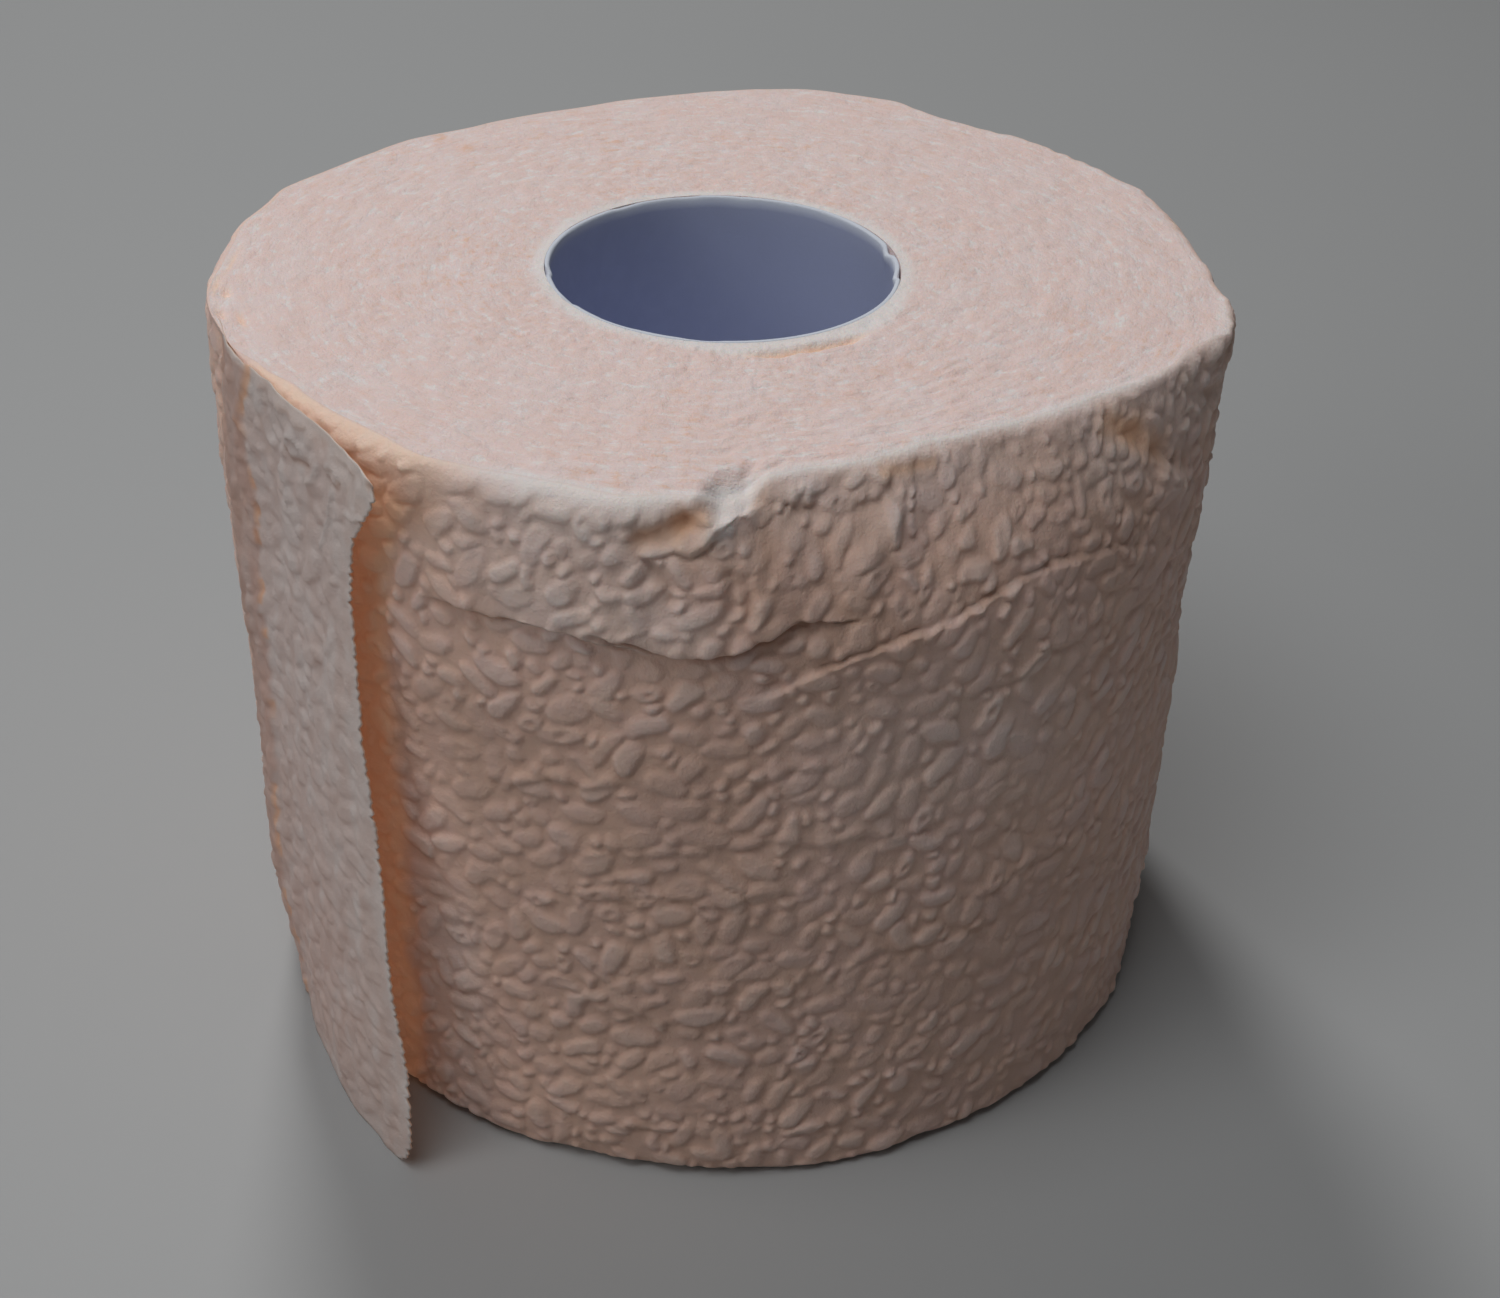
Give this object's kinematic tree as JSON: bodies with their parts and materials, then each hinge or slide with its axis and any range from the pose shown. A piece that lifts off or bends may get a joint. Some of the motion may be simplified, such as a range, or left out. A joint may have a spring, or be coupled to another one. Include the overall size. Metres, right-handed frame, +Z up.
{
  "type": "toilet paper roll",
  "caption": "Standing roll of embossed tissue wound on a paperboard core tube, with its torn loose end standing off the side.",
  "frame": {"origin": "on the axis of the paperboard core, in the plane of the lower end face that the roll stands on", "axes": "+Z up along the core's axis; -Y is the front of the picture's view, with the loose end at the front left; +X is to the right"},
  "size_m": [0.1234, 0.1248, 0.095],
  "materials": {
    "paper": "soft matt peach two-ply tissue with an irregular pebble emboss",
    "core_board": "smooth matt blue-grey inside, with a paler cut rim"
  },
  "bodies": {
    "root": {"core_tube": "core_board", "wound_paper": "paper"}
  },
  "joints": []
}
